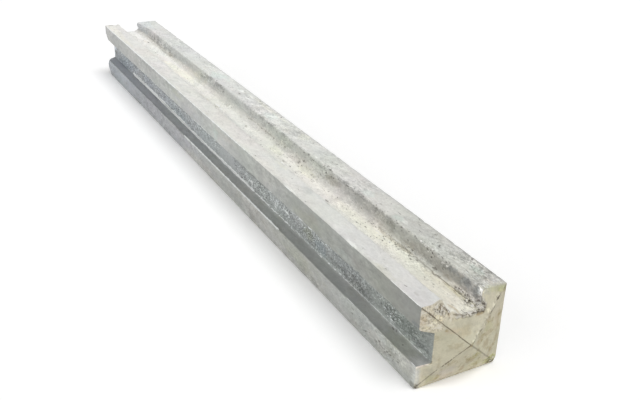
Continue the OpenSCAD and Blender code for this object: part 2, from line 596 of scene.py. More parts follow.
# Pieces broken off: a place the break passes through, the way the break faces, and its reach
BREAKS = [
    ((RIGHT, 3, BED + 1.5), (0.9, -1.0, -0.6), 12),
    ((LEFT, 2.5, BED + 1), (-1, -0.6, -0.8), 14),
    ((LEFT, 1.5, SIDE_HIGH), (-1, -0.6, -0.5), 8),
    ((LEFT, 2, SIDE_LOW), (-1, -0.8, 0.5), 9),
    ((TOP_LEFT, 8, FACE), (0.35, -0.94, 0.8), 26),
    ((TOP_RIGHT, 3, FACE), (-0.7, -1, 0.8), 10),
    ((-36, LENGTH - 2.5, FACE), (0, 0.7, 1), 6),
    ((LEFT, LENGTH - 14, SIDE_HIGH), (-0.6, 0.5, -0.6), 24),
    ((LEFT, LENGTH - 7, SIDE_LOW), (-1, 0.7, 0.6), 16),
    ((LEFT, LENGTH - 14, BED), (-1, 0.8, -0.8), 28),
    ((RIGHT, LENGTH - 5, BED), (1, 1, -0.6), 20),
]


def break_corners(skin):
    """Takes the broken pieces off, and gives back how much was cut away from each vertex."""
    cut = np.zeros(len(skin.points))
    for number, (place, direction, reach) in enumerate(BREAKS):
        out = np.array(direction, float)
        out /= np.linalg.norm(out)
        close, middle = skin.near(place, reach)
        offset = skin.points[close] - middle
        height = np.maximum(offset @ out, 0)
        height *= smooth(reach, 0.75 * reach, np.linalg.norm(offset, axis=1))
        height *= 1 + 0.45 * field(skin.home[close], 4, 3, 60 + number)
        skin.points[close] -= out * height[:, None]
        cut[close] += height
    return cut


# ---- the weathered top

# Lines scored or cracked into the weathered top, two of them darkened as painted shadow: from, to, half
# the width, and how dark
TOP_LINES = [
    ((-56, 106), (0, 53), 0.8, 0.9), ((0, 53), (44, 11), 1.1, 0.5),
    ((0, 53), (-29, 27), 0.9, 0.85), ((-33, 24.5), (-54, 4), 0.9, 0.62),
    ((56, 103), (45.5, 96.3), 0.6, 0.7), ((45.5, 96.3), (41.7, 92), 0.8, 0.9),
    # these two run under the ledge at the end of the slot floor: pressed in, and darkened as painted
    # shadow under it
    ((-18, 87), (5, 85.6), 0.5, 0.55), ((5, 85.6), (21, 84), 0.8, 0.7),
    ((-27.5, 103), (-25, 98), 1.0, 0.45), ((-25, 98), (-21, 90), 1.3, 0.65),
]
FAR = 99.0


def scored_and_shadow_lines(p):
    """How many half widths a point lies from the nearest line, and how dark that line is."""
    place = p[:, [0, 2]] + 0.5 * field(p, 12, 2, 33)[:, None]
    distance, strength = np.full(len(p), FAR), np.zeros(len(p))
    for start, end, width, dark in TOP_LINES:
        start = np.array(start, float)
        run = np.array(end) - start
        along = np.clip((place - start) @ run / (run @ run), 0, 1)
        reach = np.linalg.norm(place - start - along[:, None] * run, axis=1) / width
        strength = np.where(reach < distance, dark, strength)
        distance = np.minimum(distance, reach)
    return distance, strength


def broken_arm(p):
    """The rough broken patch on the arm between the two slots."""
    x, z = p[:, 0], p[:, 2]
    ragged = 2.5 * field(p, 8, 3, 30)
    outer = smooth(-33, -40, x + 0.35 * (z - 92) + ragged) * smooth(74, 77, z)
    inner = smooth(83, 89, z + ragged) * smooth(-15, -20, x) * smooth(-41, -34, x + ragged)
    return outer + inner


def on_slopes(p):
    """How far to the right of the tip and above it a point lies, from -1 to 1."""
    return p[:, 0] / HALF_W, (p[:, 2] - BED - HALF_H) / HALF_H


def crumbly_ridge(p):
    """The raised crumbly ridge from the tip to the top right corner."""
    u, v = on_slopes(p)
    aside = np.abs(u - v) / math.hypot(1 / HALF_W, 1 / HALF_H)
    width = 1.3 + 1.2 * smooth(0.25, 0.6, u)
    return np.exp(-(aside / width) ** 2) * smooth(0.04, 0.12, u) * smooth(0.98, 0.8, u)


def finish_top(skin):
    """Lays the first ring back on the weathered top and gives the top its own relief: the broken
    arm between the slots, the crumbly ridge to the right corner and the scored ridge lines."""
    along = np.repeat(skin.rows, skin.around)
    near = cap_y(skin.points[skin.side, 0], skin.points[skin.side, 2])
    skin.points[skin.side, 1] = near + (FOOT - near) * along
    for chosen, fade in ((skin.side, np.exp(-along * LENGTH / 2.5)), (skin.top, 1.0)):
        p = skin.points[chosen].copy()
        p[:, 1] = 0
        from_tip = np.hypot(p[:, 0], p[:, 2] - BED - HALF_H)
        sunk = np.maximum(0.1 + 0.5 * field(p, 22, 3, 6), 0) * smooth(0, 12, from_tip)
        sunk += broken_arm(p) * (0.5 + 1.0 * field(p, 4, 3, 31))
        sunk -= crumbly_ridge(p) * np.maximum(0.3 + 1.4 * field(p, 4, 3, 32), 0)
        skin.points[chosen, 1] += sunk * fade
    score_and_shadow, strength = scored_and_shadow_lines(skin.points[skin.top])
    skin.points[skin.top, 1] += 0.7 * strength * np.clip(1 - score_and_shadow / 1.3, 0, 1)


# ---- tables of what lies on the skin

# Marks in the surface, and places where a detail gathers: tint or detail, strength, place
# (x, distance from the shoulder, z), and size the same way. A mark's place in the list gives it
# its own ragged outline.
MARKS = [
    # clusters of pits, and of specks with their painted glints
    ("pits", 0.9, (38, 95, 106), (8, 24, 3)), ("pits", 1.5, (25, 150, 106), (2.5, 75, 3)),
    ("pits", 1.5, (26, 345, 106), (3, 26, 3)), ("pits", 1.0, (43, 372, 106), (6, 22, 3)),
    ("pits", 0.8, (44, 30, 106), (10, 30, 3)), ("pits", 0.8, (32, 455, 106), (8, 14, 3)),
    ("pits", 1.6, (23, 60, 102), (4, 10, 5)), ("pits", 1.6, (23, 97, 104), (4, 9, 3)),
    ("pits", 1.3, (22, 176, 99), (4, 8, 7)), ("pits", 1.6, (23, 208, 103), (4, 13, 4)),
    ("pits", 1.6, (23, 276, 104), (4, 32, 3)), ("pits", 1.5, (21, 335, 100), (4, 22, 7)),
    ("pits", 1.5, (23, 480, 104), (4, 90, 3)), ("pits", 1.2, (18, 545, 90), (4, 75, 2.5)),
    ("pits", 1.6, (23, 750, 103), (4, 34, 4)), ("pits", 1.4, (22, 806, 101), (4, 8, 5)),
    ("pits", 1.4, (19, 1020, 92), (4, 75, 5)), ("pits", 1.1, (14, 150, 88), (4, 50, 3)),
    ("pits", 0.9, (6, 190, 87), (8, 110, 3)), ("pits", 0.8, (2, 450, 87), (10, 40, 3)),
    ("grain", 1.5, (23, 60, 102), (4, 12, 5)), ("grain", 1.5, (22, 190, 102), (4, 30, 5)),
    ("grain", 1.5, (23, 280, 104), (4, 36, 4)), ("grain", 1.0, (21, 335, 100), (4, 26, 9)),
    ("grain", 0.8, (23, 500, 104), (4, 90, 2.5)), ("grain", 1.5, (21, 25, 100), (4, 30, 9)),
    ("grain", 1.5, (22, 765, 101), (4, 60, 6)), ("grain", 1.5, (19, 1040, 93), (4, 90, 6)),
    ("grain", 0.8, (38, 95, 106), (12, 30, 3)), ("grain", 0.8, (14, 160, 88), (5, 60, 3)),
    ("specks_and_glints", 0.3, (-40, 76, 46), (4, 22, 12)), ("specks_and_glints", 2.5, (-40, 348, 50), (4, 13, 5)),
    ("specks_and_glints", 2.5, (-40, 381, 47), (4, 6, 9)), ("specks_and_glints", 1.4, (-40, 242, 57), (4, 22, 4)),
    ("pits", 1.4, (-56, 52, 15), (4, 26, 8)), ("pits", 1.0, (-56, 120, 12), (4, 20, 9)),
    ("specks_and_glints", 1.2, (-40, 690, 55), (4, 90, 4)), ("specks_and_glints", 1.0, (-40, 460, 46), (4, 18, 8)),
    # right land
    ("dark", 0.5, (54, 27, 106), (2, 7, 3)), ("teal", 0.9, (43, 36, 106), (5, 11, 3)),
    ("pink", 0.8, (40, 12, 106), (4, 9, 3)), ("olive", 0.8, (33, 1, 106), (5, 4, 3)),
    ("lilac", 0.4, (48, 8, 106), (6, 8, 3)), ("dark", 0.5, (44, 72, 106), (3, 4, 3)),
    ("grey", 0.6, (38, 110, 106), (4, 16, 3)), ("grey", 0.7, (42, 168, 106), (4, 9, 3)),
    ("white", 0.3, (33, 163, 106), (3, 5, 3)), ("teal", 0.9, (31, 178, 106), (5, 10, 3)),
    ("teal", 0.9, (34, 253, 106), (7, 12, 3)), ("dark", 0.4, (46, 286, 106), (2, 7, 3)),
    ("grey", 0.5, (39, 398, 106), (12, 10, 3)), ("olive", 0.5, (45, 458, 106), (8, 13, 3)),
    ("grey", 0.6, (40, 478, 106), (10, 12, 3)), ("pink", 0.7, (30, 490, 106), (5, 12, 3)),
    ("teal", 0.8, (38, 560, 106), (9, 17, 3)), ("cream", 0.8, (48, 590, 106), (4, 60, 3)),
    ("white", 0.3, (43, 690, 106), (5, 9, 3)), ("white", 0.28, (37, 650, 106), (2, 9, 3)),
    ("white", 0.28, (33, 614, 106), (2, 8, 3)), ("white", 0.28, (28, 585, 106), (2, 9, 3)),
    ("grey", 0.8, (36, 630, 106), (2, 8, 3)), ("white", 0.25, (46, 655, 106), (1.6, 10, 3)),
    ("grey", 0.8, (42, 668, 106), (2, 7, 3)), ("dark", 0.9, (23.8, 358, 106), (2, 3, 3)),
    ("white", 0.25, (27, 384, 106), (2, 4, 3)), ("teal", 0.9, (40, 780, 106), (13, 24, 3)),
    ("grey", 0.6, (38, 960, 106), (12, 26, 3)), ("blue", 0.6, (32, 1185, 106), (9, 45, 3)),
    # right wall and the cove under it
    ("slate", 0.8, (21, 10, 101), (4, 8, 5)), ("slate", 0.9, (21, 28, 101), (4, 9, 6)),
    ("dark", 0.6, (21, 36, 103), (4, 6, 3)), ("slate", 0.8, (21, 50, 102), (4, 9, 4)),
    ("white", 1.6, (21.5, 4, 102), (4, 4.5, 4)), ("pink", 0.5, (17, 30, 91), (5, 18, 4)),
    ("brown", 0.6, (17, 58, 92), (5, 8, 3)), ("pink", 0.8, (20, 98, 99), (5, 36, 8)),
    ("dark", 0.5, (20, 109, 98), (4, 5, 3)), ("brown", 0.5, (18, 134, 93), (4, 12, 4)),
    ("dark", 0.6, (21, 173, 97), (4, 4, 7)), ("dark", 0.3, (22, 206, 103), (4, 9, 3)),
    ("dark", 0.55, (19, 168, 90.5), (3, 34, 3)), ("grey", 0.8, (21, 905, 96), (4, 60, 4)),
    ("grey", 0.7, (19, 795, 91), (3, 60, 3)), ("grey", 0.5, (20, 255, 98), (4, 30, 8)),
    ("brown", 0.4, (19, 325, 96), (5, 22, 6)), ("dark", 0.5, (20, 333, 97), (4, 5, 3)),
    ("dark", 0.8, (17.5, 545, 90.5), (3, 74, 1.4)), ("olive", 0.3, (20, 470, 97), (5, 20, 9)),
    ("rust", 0.15, (18, 550, 93), (6, 80, 5)), ("grey", 0.6, (20, 745, 97), (4, 25, 9)),
    ("dark", 0.15, (23, 758, 104), (4, 26, 3)), ("cream", 0.9, (20, 800, 97), (5, 6, 10)),
    ("olive", 0.5, (19, 835, 95), (5, 26, 9)), ("dark", 0.6, (18, 992, 91), (5, 14, 4)),
    ("dark", 0.5, (20, 1090, 98), (5, 22, 5)), ("pink", 0.3, (17, 900, 91), (5, 190, 4)),
    ("blue", 0.8, (21, 1180, 98), (7, 34, 12)),
    # slot floor
    ("brown", 0.9, (-10, 2, 87), (3, 14, 3)), ("olive", 0.8, (13, 20, 88), (4, 40, 4)),
    ("sand", 0.15, (2, 8, 87), (12, 24, 3)), ("brown", 0.6, (13, 40, 88), (2, 24, 3)),
    ("brown", 0.5, (14, 150, 88), (3, 44, 3)), ("cream", 0.3, (2, 220, 87), (8, 60, 3)),
    ("dark", 0.5, (8, 287, 87), (6, 3, 3)), ("olive", 0.5, (10, 380, 87), (8, 26, 3)),
    ("dark", 0.8, (-4.1, 430, 87), (3, 3.6, 3)), ("white", 0.28, (-6.6, 427, 87), (1.6, 5, 3)),
    ("olive", 0.5, (4, 470, 87), (8, 18, 3)), ("dark", 0.7, (12.5, 679.5, 88), (4.4, 4, 4)),
    # the white marks near 680 are painted highlights on the rims of the dark scoops beside them
    ("white", 0.3, (14, 672, 88), (4, 4, 4)), ("white", 0.3, (-2.5, 688, 87), (2.6, 8, 3)),
    ("dark", 0.8, (-5.8, 684, 87), (2, 8, 3)), ("white", 0.3, (-4.2, 670, 87), (2, 4, 3)),
    ("grey", 0.8, (-7.4, 650, 87), (1.6, 36, 3)), ("dark", 1.0, (2.4, 580, 87), (2.4, 4, 3)),
    ("grey", 0.8, (-7.6, 610, 87), (1.6, 26, 3)), ("cream", 0.9, (2, 890, 87), (9, 80, 3)),
    ("brown", 0.6, (-12, 735, 87), (5, 26, 3)), ("dark", 0.5, (-11, 868, 87), (3, 9, 3)),
    ("brown", 0.4, (5, 1112, 87), (4, 10, 3)),
    # left land
    ("grey", 0.8, (-34, 293, 106), (6, 16, 3)), ("olive", 0.5, (-53, 80, 106), (4, 26, 3)),
    ("dark", 0.6, (-46, 25, 106), (1.6, 4, 3)), ("grey", 0.7, (-36, 34, 106), (2, 4, 3)),
    ("cream", 0.8, (-50, 88, 106), (4, 8, 3)), ("white", 0.3, (-54, 146, 106), (3, 14, 3)),
    ("white", 0.3, (-54, 305, 106), (3, 18, 3)), ("grey", 0.7, (-55, 338, 106), (4, 16, 3)),
    ("grey", 0.5, (-30, 685, 106), (4, 20, 3)), ("grey", 0.5, (-46, 735, 106), (6, 22, 3)),
    ("cream", 0.9, (-50, 1120, 106), (8, 90, 3)), ("black", 0.5, (-42, 1198, 106), (7, 6, 4)),
    ("cream", 0.8, (-30, 380, 106), (6, 16, 3)), ("lilac", 0.15, (-40, 60, 106), (14, 60, 3)),
    # upper shoulder and its lower lip
    ("slate", 0.8, (-55, 8, 80), (4, 9, 4)), ("teal", 0.5, (-56, 158, 84), (4, 18, 6)),
    ("white", 0.2, (-56, 122, 81), (4, 10, 4)), ("white", 0.1, (-56, 131, 88), (4, 10, 5)),
    ("pink", 0.6, (-56, 131, 88), (4, 10, 5)), ("olive", 0.5, (-56, 255, 86), (4, 36, 8)),
    ("sand", 0.4, (-56, 235, 95), (4, 12, 6)), ("grey", 0.6, (-56, 470, 85), (4, 42, 8)),
    ("teal", 0.8, (-56, 565, 88), (4, 10, 12)), ("lilac", 0.6, (-56, 690, 86), (4, 60, 8)),
    ("olive", 0.5, (-56, 745, 98), (4, 26, 6)), ("grey", 0.5, (-56, 870, 84), (4, 40, 7)),
    ("pink", 0.6, (-56, 540, 98), (4, 40, 6)), ("dark", 0.6, (-56, 1150, 76), (3, 20, 4)),
    # back of the side slot
    ("rubbed_and_highlight", 0.5, (-40, 347, 50), (4, 12, 3)), ("rubbed_and_highlight", 0.5, (-40, 381, 47), (4, 5, 7)),
    # the two rubbed marks at 242 and 276, high on the back, are painted highlights along the upper lip
    ("rubbed_and_highlight", 0.42, (-40, 242, 58), (4, 20, 2)), ("rubbed_and_highlight", 0.42, (-40, 276, 59), (4, 14, 1.5)),
    ("rubbed_and_highlight", 0.42, (-40, 462, 46), (4, 12, 5)), ("rubbed_and_highlight", 0.2, (-40, 76, 46), (4, 14, 8)),
    ("rubbed_and_highlight", 0.36, (-40, 24, 42), (4, 28, 1.2)), ("rubbed_and_highlight", 0.45, (-40, 62, 40), (4, 46, 1.1)),
    # the black mark at 470 here and the dark marks at 390 and 820 below, high on the back, are painted
    # shadow of the upper lip
    ("black", 0.9, (-40, 38, 38), (4, 3, 1.6)), ("black", 0.5, (-40, 470, 58), (4, 48, 3)),
    ("dark", 0.5, (-40, 155, 42), (4, 34, 8)), ("olive", 1.2, (-40, 280, 51), (4, 18, 8)),
    ("blue", 1.2, (-40, 246, 46), (4, 18, 9)), ("rubbed_and_highlight", 0.45, (-40, 695, 55), (4, 85, 1.3)),
    ("blue", 0.5, (-40, 790, 45), (4, 60, 8)), ("lilac", 0.8, (-40, 870, 50), (4, 45, 10)),
    ("lilac", 0.8, (-40, 960, 48), (4, 30, 9)), ("dark", 0.5, (-40, 820, 60), (4, 90, 2.5)),
    ("dark", 0.5, (-40, 390, 60), (4, 50, 2.5)), ("dark", 0.4, (-40, 900, 48), (4, 36, 6)),
    ("pink", 0.8, (-40, 1010, 48), (4, 24, 9)), ("blue", 0.7, (-40, 1090, 50), (4, 34, 9)),
    ("slate", 0.9, (-40, 1130, 40), (4, 42, 8)), ("olive", 0.5, (-40, 1160, 58), (4, 22, 6)),
    ("white", 0.8, (-40, 1190, 58), (4, 9, 7)), ("black", 0.9, (-40, 1188, 48), (4, 7, 4)),
    ("white", 0.3, (-40, -3, 52), (4, 3, 22)),
    # the lower lip's rim at the top end, and the slot floor's stained near end
    ("white", 0.35, (-56, 1, 15), (3, 4, 15)), ("brown", 0.25, (9, 55, 87), (6, 40, 3)),
    ("pits", 0.6, (9, 60, 87), (6, 45, 3)), ("grain", 0.4, (8, 60, 87), (7, 50, 3)),
    # lower wall, lower lip and lower shoulder
    ("olive", 0.6, (-48, 40, 32), (9, 30, 5)), ("lilac", 0.7, (-48, 1000, 32), (9, 200, 5)),
    ("black", 0.8, (-42, -5, 36), (2, 3, 2)), ("cream", 0.7, (-56, 26, 20), (4, 34, 12)),
    ("dark", 0.6, (-56, 48, 17), (4, 12, 3)), ("pink", 0.9, (-56, 78, 12), (4, 24, 9)),
    ("olive", 0.6, (-56, 270, 18), (4, 60, 10)), ("grey", 0.8, (-56, 490, 16), (4, 46, 11)),
    ("cream", 0.7, (-56, 640, 8), (4, 70, 8)), ("lilac", 0.8, (-56, 900, 14), (4, 220, 16)),
    ("dark", 0.6, (-56, 425, 9), (4, 9, 5)), ("black", 0.7, (-55, 2, 3), (3, 6, 4)),
]

# Marks on the weathered top: tint or detail, strength, place (across, up) and size the same way
TOP_MARKS = [
    ("brown", 0.7, (15, 50), (6, 4)), ("brown", 0.8, (30, 40), (5, 7)),
    ("brown", 0.6, (43, 27), (5, 5)), ("brown", 0.7, (32, 53), (9, 4)),
    ("brown", 0.8, (50, 38), (4, 7)), ("rust", 0.8, (49, 52), (5, 8)),
    ("brown", 0.8, (29, 72), (3, 5)), ("rust", 0.8, (47, 66), (6, 9)),
    ("olive", 1.2, (30, 62), (8, 7)), ("brown", 0.9, (11, 22), (6, 5)),
    ("brown", 1.0, (4, 11), (3, 6)), ("olive", 1.2, (17, 28), (7, 5)),
    ("olive", 1.3, (-36, 11), (9, 6)), ("olive", 1.0, (24, 12), (10, 5)),
    ("rust", 0.4, (-20, 7), (18, 4)), ("brown", 1.2, (-28, 75), (2.5, 1.8)),
    ("pink", 1.5, (-22, 73), (7, 4)), ("rust", 0.8, (-6, 70), (9, 7)),
    ("moss", 0.9, (46, 8), (9, 7)), ("black", 1.3, (49, 3), (4, 1.6)),
    ("dark", 0.8, (41, 12), (3, 3)), ("black", 1.0, (45, 9), (1.5, 1.5)),
    ("cream", 1.5, (50, 8), (2, 2)), ("moss", 0.5, (50, 101), (6, 4)),
    ("olive", 1.0, (42, 103), (12, 3)), ("dark", 0.3, (54, 96), (2, 10)),
    ("black", 1.6, (41.7, 92), (1.6, 1.8)), ("grey", 0.4, (-38.5, 48), (1.5, 14)),
    ("black", 1.2, (-41.6, 34.2), (1.4, 1.4)), ("black", 1.0, (-55, 2), (2, 2)),
    ("brown", 0.9, (-22.5, 96), (2.2, 7)), ("brown", 1.4, (-19, 90), (3.5, 2)),
    # the brown mark at (16, 83) and the black one at (21, 85) are painted shadow under the crust's edge
    ("cream", 1.5, (-7, 84.5), (15, 1.5)), ("brown", 1.4, (16, 83), (6, 1.5)),
    ("black", 1.2, (21, 85), (1.6, 1.8)), ("cream", 1.5, (-38, 90), (6, 4)),
    ("cream", 1.5, (-50, 80), (6, 2)), ("rust", 1.0, (-52, 90), (3, 6)),
    # painted highlights on the pale crumbs of the ridge to the right corner
    ("white", 0.5, (35.8, 86.7), (2.2, 2.4)), ("white", 0.5, (27.6, 83.4), (1.8, 2.2)),
    ("white", 0.5, (27.3, 77), (2.2, 1.8)), ("white", 0.5, (21.4, 70.6), (1.8, 2.6)),
    ("white", 0.6, (10.8, 63.2), (1.6, 2.4)), ("white", 0.6, (3.2, 56.7), (2, 1.5)),
    # painted shadows beside them, on the ridge's lower right
    ("dark", 0.7, (37.8, 84.5), (1.6, 2)), ("dark", 0.7, (29.6, 74.8), (1.8, 1.6)),
    ("dark", 0.7, (23.6, 68.6), (1.4, 2.2)), ("dark", 0.6, (12.8, 61.4), (1.4, 2)),
    ("white", 0.3, (-42, 84), (4, 3)), ("brown", 0.8, (-33, 101), (6, 2)),
    ("brown", 0.6, (-45, 96), (3, 2)), ("white", 0.14, (-17, 11), (17, 9)),
    ("lilac", 1.6, (-17, 11), (17, 9)), ("white", 0.3, (-44, 33), (4, 1.4)),
    ("grey", 0.6, (0, 77), (17, 8)), ("grey", 0.65, (-41, 15), (6, 11)),
    ("white", 0.12, (-52.5, 21), (4, 8)), ("white", 0.1, (-55.4, 15), (1.6, 14)),
    ("crumb", 1.0, (47, 6.5), (7, 5)), ("white", 0.3, (-9, 85.5), (4, 1.5)),
    ("white", 0.3, (1, 85), (4, 1.3)), ("white", 0.35, (9, 84), (3, 1.5)),
    ("crumb", 0.35, (-54, 2), (3, 3)), ("crumb", 0.3, (-47, 32), (8, 1.6)),
]

# Stretches of a face a little darker or paler than the rest: face, from and to, and the gain
STRETCHES = [
    ("slot_back", 400, 500, 0.91), ("slot_back", 760, 1060, 0.95), ("lower_wall", 760, 1060, 0.95),
    ("right_wall", 200, 300, 0.96), ("right_wall", 500, 600, 1.06),
    ("right_wall", 1060, 1240, 0.91), ("upper_shoulder", 190, 310, 0.94),
    ("upper_shoulder", 490, 760, 1.05), ("lower_shoulder", 12, 30, 0.94),
    ("lower_shoulder", 40, 75, 1.07), ("lower_shoulder", 900, 1050, 0.94),
    ("right_land", 110, 200, 0.95), ("right_land", 500, 600, 1.04), ("left_land", 500, 600, 0.965),
    ("slot_floor", 110, 190, 1.04), ("slot_floor", 300, 400, 1.03),
]

# Edges rubbed white with a painted highlight along them, and the white fin, partly a painted highlight:
# corner, from and to, and half the line's breadth
EDGE_LINES = [
    (1, -2, 14, 0.3), (1, 96, 156, 0.34), (1, 335, 720, 1.1), (1, 760, 1190, 0.3),
    (2, 0, 200, 0.38), (2, 200, 330, 1.0), (2, 330, 450, 1.5), (2, 450, 750, 2.0),
    (2, 750, 1062, 2.8), (4, 235, 300, 0.6), (4, 375, 425, 0.6), (4, 585, 665, 0.9),
    (4, 760, 900, 0.5), (5, -5, 60, 0.5), (5, 138, 152, 0.6), (5, 298, 322, 0.6),
    (5, 450, 750, 0.6), (5, 750, 1190, 1.1), (10, 235, 650, 0.8), (10, 900, 1150, 0.6),
]


# ---- paint

def base_tone(skin):
    """Each face's own colour, changing along the post."""
    stations = [skin.share @ srgb([face[column] for face in FACES]) for column in COLOURS]
    part = (skin.t / LENGTH)[:, None]
    first = np.clip(part / MIDDLE, 0, 1)
    second = np.clip((part - MIDDLE) / (1 - MIDDLE), 0, 1)
    return (stations[0] * (1 - first) + stations[1] * first) * (1 - second) + stations[2] * second


def paint_slopes(skin):
    """The weathered top's four slopes: each painted as pale as the light on it makes it, each with
    its own amount of mottling, and the lowest one painted palest at its foot, against the floor's
    shade."""
    u, v = on_slopes(skin.home)
    top = skin.of("weathered_top")
    # painted light: the foot of the top made paler, against the shade the floor gives it
    skin.shade(1 + 0.28 * skin.zone("weathered_top", z=(20, 0)))
    upper, left = (v >= np.abs(u), 1.03, 0.0), (-u > np.abs(v), 1.0, 0.3)
    right, lower = (u > np.abs(v), 0.98, 0.7), (-v > np.abs(u), 0.96, 0.9)
    # painted light and shade: each slope as pale as the light on it makes it
    for slope, gain, mottle in (upper, left, right, lower):
        skin.shade(1 + (gain - 1) * (top * slope))
        skin.detail["mottle"] += top * (mottle * slope)


def paint_side_slot(skin):
    """The lower wall is darker at its lip, painted shade of the upper flange, darker at the tip, and
    darker beside the fin, painted shade under the fin with dirt in its corner; the back is paler next
    to the fin."""
    t = skin.t
    reach = skin.reach(*fin_place(t))
    # painted shade: the upper flange's shadow across the lower wall, darkest at its lip
    skin.shade(1 - 0.2 * skin.zone("lower_wall", x=(-50, -55)))
    skin.shade(1 - 0.25 * skin.zone("lower_wall", t=(20, -8)))
    # painted shade under the fin, with dirt in the corner
    skin.shade(1 - 0.2 * smooth(8, 2, reach) * skin.zone("lower_wall", t=(540, 700)))
    fin = smooth(3.2 + 4.0 * smooth(130, 60, t), 1.0, reach) * smooth(420, 300, t)
    skin.shade(1 + 0.5 * fin * skin.zone("slot_back", t=(-4, 8)))


def paint_cove_light_and_shade(skin, moved):
    """The cove of mortar is painted pale, as painted light where it turns up to the wall, and the foot
    of the wall and the floor beside it are painted darker, as the right wall's painted shadow.
    """
    t = skin.t
    # painted light: the cove made pale where it turns up from the floor to the wall
    skin.colour((230, 229, 222), 0.7 * moved * smooth(30, 120, t) * smooth(97, 90, skin.z))
    # painted shadow of the right wall on the wall's foot and the floor beside it
    painted_shade = skin.zone("slot_floor", x=(4, 16)) + 0.5 * skin.zone("right_wall", z=(97, 91))
    skin.shade(1 - painted_shade * smooth(30, 90, t) * (0.15 - 0.09 * smooth(380, 520, t)))


def paint_stretches(skin):
    for name, start, end, gain in STRETCHES:
        skin.shade(1 + (gain - 1) * between(start, end, 20, skin.t) * skin.of(name))


def paint_upper_slot(skin, moved):
    """Rust and pits in the cove, the greyer left half of the floor, and the pale ledge beside
    the crust at the top end."""
    t, detail = skin.t, skin.detail
    stains = smooth(-0.15, 0.35, along_field(t, 50, 3, 23)) * (1 - 0.8 * smooth(400, 700, t))
    skin.tint("rust", 0.15 * moved * (0.15 + 0.85 * stains))
    skin.colour((232, 232, 228), 0.6 * skin.zone("slot_floor", x=(2, -12), t=(40, 130)))
    ledge = skin.zone("slot_floor", "right_wall", x=(13, 17), t=(60, 35), z=(93, 90.5))
    skin.colour((234, 230, 217), 0.85 * ledge)

    detail["pits"] += 0.4 * moved * stains
    detail["grain"] += 0.3 * moved * stains
    for name in ("pits", "mottle"):
        detail[name] *= 1 - 0.5 * skin.zone("right_wall", t=(480, 760))
    speckled = skin.zone("slot_floor", x=(-6, 6), t=(50, 90)) * smooth(560, 440, t)
    dotted = skin.zone("right_wall", t=(10, 60), z=(97, 101)) * smooth(900, 760, t)
    dotted *= smooth(-0.1, 0.25, along_field(t, 26, 3, 38))
    detail["pits"] += 0.5 * speckled + 0.8 * dotted


def paint_edges(skin):
    """Worn outer edges show paler paste in dashes, with a painted highlight along them, and three of
    them are darker for a while.
    """
    t = skin.t
    corner = np.zeros(len(t))
    for x, z, radius, near_wear, foot_wear in CORNERS:
        if radius > 0:
            corner = np.maximum(corner, smooth(2.6, 0.8, skin.reach(x, z)))
    # paler paste of the worn edges, with a painted highlight where light catches them
    dashes = smooth(-0.1, 0.25, field(skin.home * (1, 0.3, 1), 8, 3, 24))
    skin.tint("cream", 0.3 * corner * dashes * (1 - skin.of("weathered_top")))

    darker_land_edge = skin.zone("left_land", x=(LEFT + 5, LEFT + 1), t=(50, 90)) * smooth(360, 300, t)
    skin.shade(1 - 0.1 * darker_land_edge)
    arris = smooth(3.5, 1.0, skin.reach(RIGHT, FACE)) * smooth(-4, 6, t)
    skin.shade(1 - (0.25 - 0.1 * smooth(60, 300, t)) * arris)
    lip = smooth(2.2, 0.8, skin.reach(TOP_LEFT, FACE))
    lip *= smooth(420, 500, t) * smooth(980, 900, t)
    skin.tint("grey", lip * smooth(-0.2, 0.1, along_field(t, 20, 3, 28)))


def rubbed_and_highlight_lines(skin):
    """How near each vertex lies to the middle of an edge rubbed white with a painted highlight, or of
    the white fin.
    """
    rubbed_and_highlight = np.zeros(len(skin.t))
    for number, start, end, breadth in EDGE_LINES:
        place = fin_place(skin.t) if number == FIN_CORNER else CORNERS[number][:2]
        wander = along_field(skin.t + 31 * number, 14, 3, 26)
        uneven = breadth * (0.75 + 0.4 * smooth(-0.3, 0.2, wander))
        line = np.clip(1 - skin.reach(*place) / (2 * uneven), 0, 1)
        line *= 1 - skin.of("weathered_top")
        if number == FIN_CORNER:
            line *= (1 - 0.7 * skin.of("lower_wall")) * (1 + 0.7 * smooth(400, 480, skin.t))
        line *= between(start, end, 8, skin.t)
        rubbed_and_highlight = np.maximum(rubbed_and_highlight, line)
    return rubbed_and_highlight


def roughen_right_land(skin):
    """The right land is rough at the top end and smoother towards the foot."""
    rough = skin.zone("right_land", t=(110, 20))
    skin.detail["grain"] += 0.7 * rough
    skin.detail["specks_and_glints"] += 0.5 * rough
    for name in ("grain", "trowel"):
        skin.detail[name] *= 1 - 0.4 * skin.zone("right_land", t=(650, 900))


def paint_rough_places(skin, heaped):
    """The broken arm and the crumbly ridge on the weathered top, and the edge between the top
    and the right land."""
    p, t, top = skin.home, skin.t, skin.of("weathered_top")
    arm = np.clip(broken_arm(p), 0, 1) * top
    crumbs = heaped + 0.45 * arm + 0.35 * (crumbly_ridge(p) * top)
    skin.detail["crumb"] = np.clip(crumbs, 0, 1)
    skin.colour((236, 227, 204), 0.8 * arm)
    edge = skin.of("right_land") * smooth(9, 0, t + 4 * field(p, 7, 3, 29))
    skin.colour((205, 203, 186), 0.7 * edge)
    edge = top * smooth(97, 105, skin.z + 4 * field(p, 7, 3, 34)) * (skin.x > TOP_RIGHT)
    skin.colour((202, 201, 187), 0.7 * edge)
    skin.detail["grain"] += 0.5 * edge


